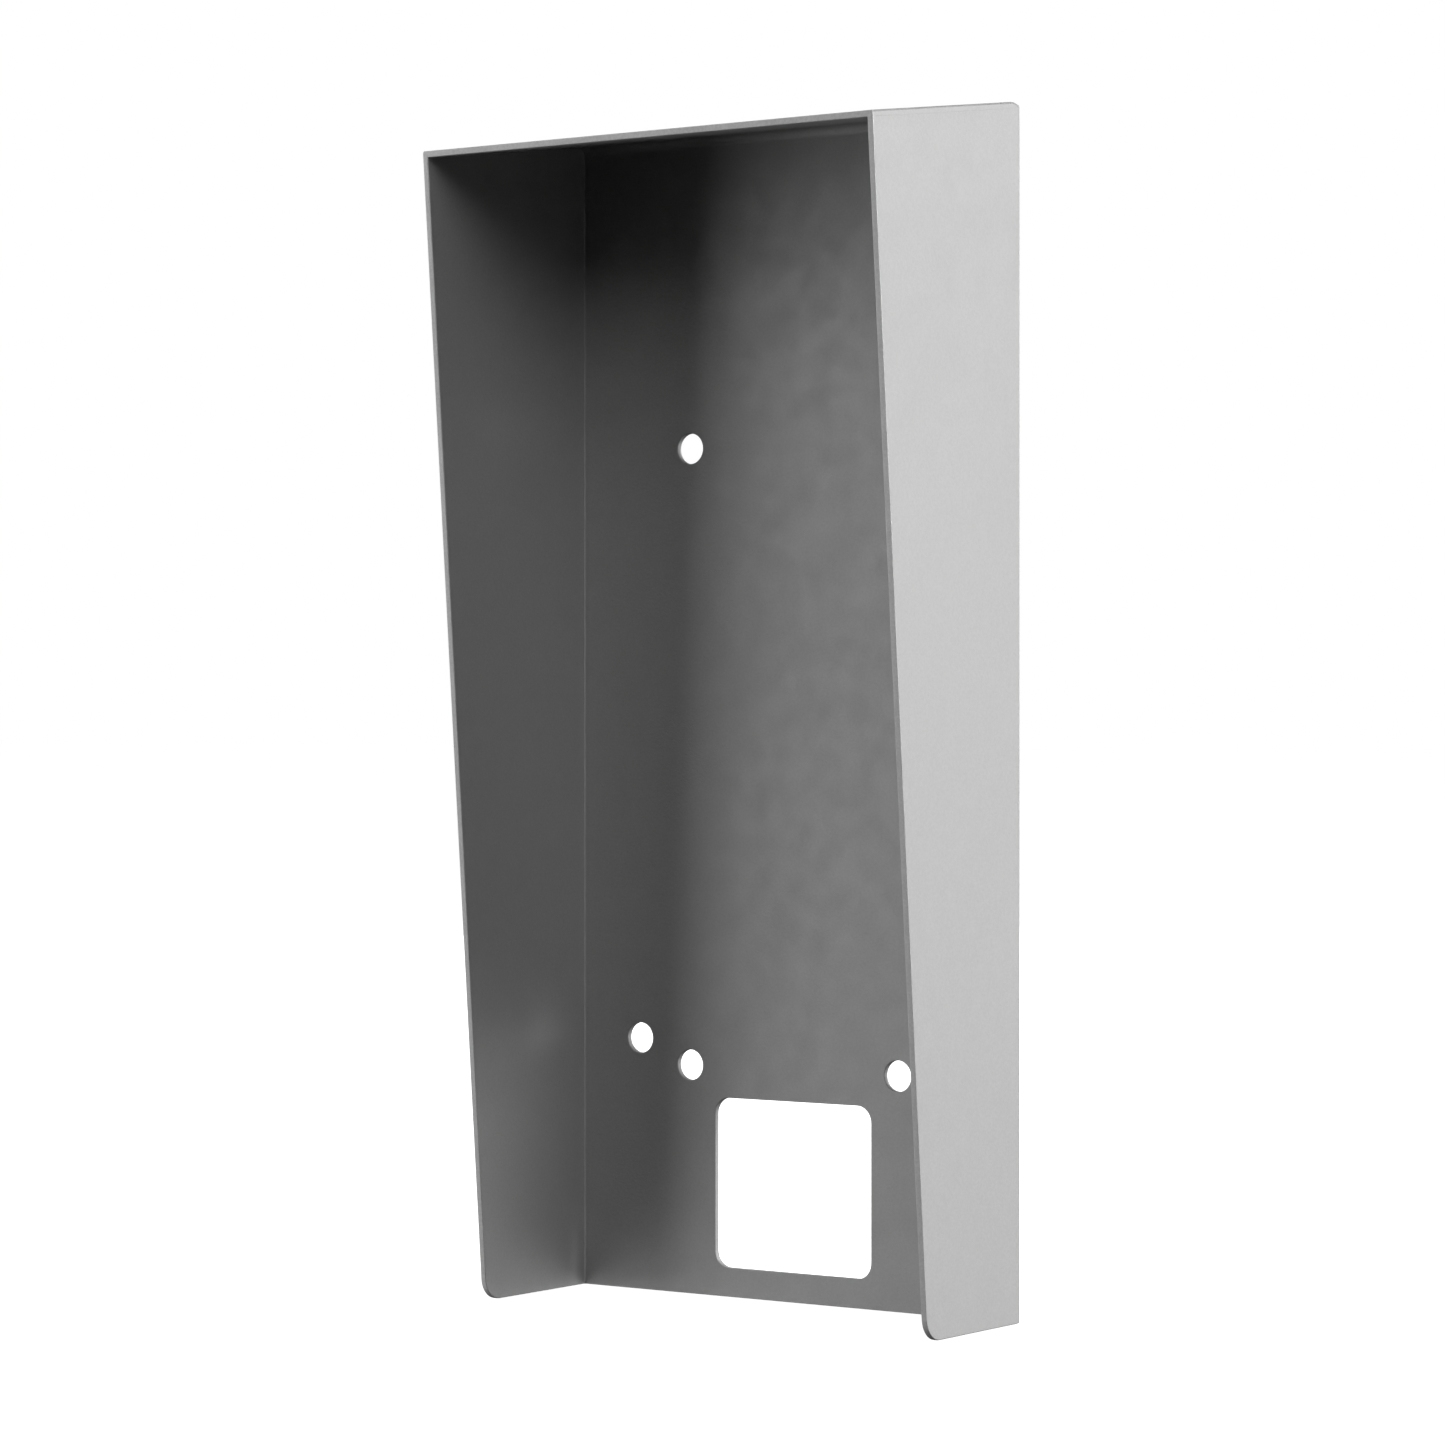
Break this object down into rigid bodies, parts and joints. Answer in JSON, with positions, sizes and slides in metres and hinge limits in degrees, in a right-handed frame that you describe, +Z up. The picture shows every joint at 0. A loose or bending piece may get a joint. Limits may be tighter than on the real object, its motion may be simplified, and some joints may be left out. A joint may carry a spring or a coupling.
{
  "type": "video doorbell rain hood",
  "caption": "Folded sheet-metal rain hood for a wall-mounted video doorbell: back plate with screw holes and a cable window, tapered cheeks and a sloping roof.",
  "frame": {"origin": "middle of the back plate's rear face, which lies on the wall", "axes": "+Y into the wall, so the hood projects towards -Y; +Z up; +X to the right for someone who faces the hood"},
  "size_m": [0.127, 0.063, 0.2815],
  "materials": {
    "powder_coat": "fine-texture satin silver-grey powder coat on sheet steel",
    "coated_weld": "weld ground flush under the same powder coat"
  },
  "bodies": {
    "root": {"hood_sheet": "powder_coat", "left_seam_weld": "coated_weld", "right_seam_weld": "coated_weld"}
  },
  "joints": []
}
